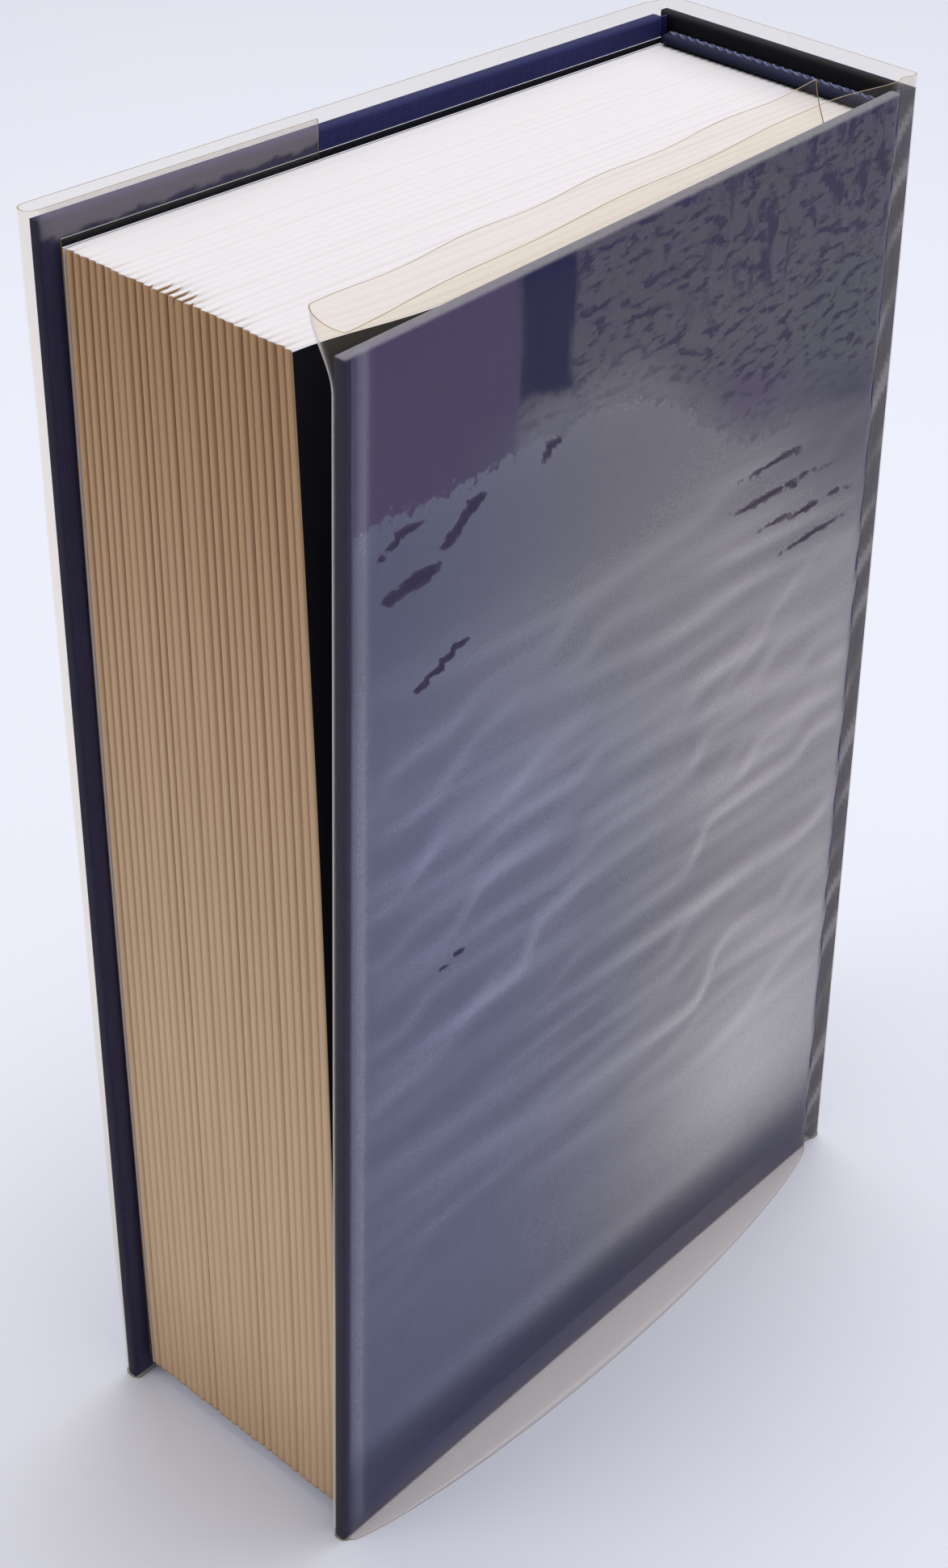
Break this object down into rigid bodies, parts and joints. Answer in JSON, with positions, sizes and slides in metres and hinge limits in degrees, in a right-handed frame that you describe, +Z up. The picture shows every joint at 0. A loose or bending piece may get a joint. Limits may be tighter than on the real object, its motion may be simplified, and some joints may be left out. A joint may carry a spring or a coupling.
{
  "type": "hardback book",
  "caption": "Thick cloth-bound hardback book with a flat hollow back and hinged covers, standing upright in a clear film jacket.",
  "frame": {"origin": "middle of the footprint, on the surface the book stands on", "axes": "+Z up towards the head, +X from the spine towards the fore edge, +Y from the front cover towards the back cover"},
  "size_m": [0.1402, 0.07, 0.227],
  "materials": {
    "pages": "uncoated book paper, browned at the cut edges",
    "endpaper": "plain white endpaper",
    "board": "grey binder's board",
    "cloth": "fine navy book cloth",
    "band": "navy twisted bead",
    "lining": "mull and paper lining",
    "film": "clear film, creased and slightly yellowed"
  },
  "bodies": {
    "book": {"text_block": "pages", "headband": "band", "tailband": "band", "spine_lining": "lining", "spine_strip": "board", "spine_cloth": "cloth", "jacket_spine": "film", "front_flyleaf": "endpaper", "back_flyleaf": "endpaper"},
    "front_cover": {"front_board": "board", "front_cloth": "cloth", "front_pastedown": "endpaper", "jacket_front": "film"},
    "back_cover": {"back_board": "board", "back_cloth": "cloth", "back_pastedown": "endpaper", "jacket_back": "film"}
  },
  "joints": [
    {"name": "front_cover_hinge", "type": "hinge", "parent": "book", "child": "front_cover", "pos_m": [-0.0672, -0.03314, 0], "axis": [0, 0, -1], "range_deg": [0, 170]},
    {"name": "back_cover_hinge", "type": "hinge", "parent": "book", "child": "back_cover", "pos_m": [-0.0672, 0.02206, 0], "axis": [0, 0, 1], "range_deg": [0, 170]}
  ]
}
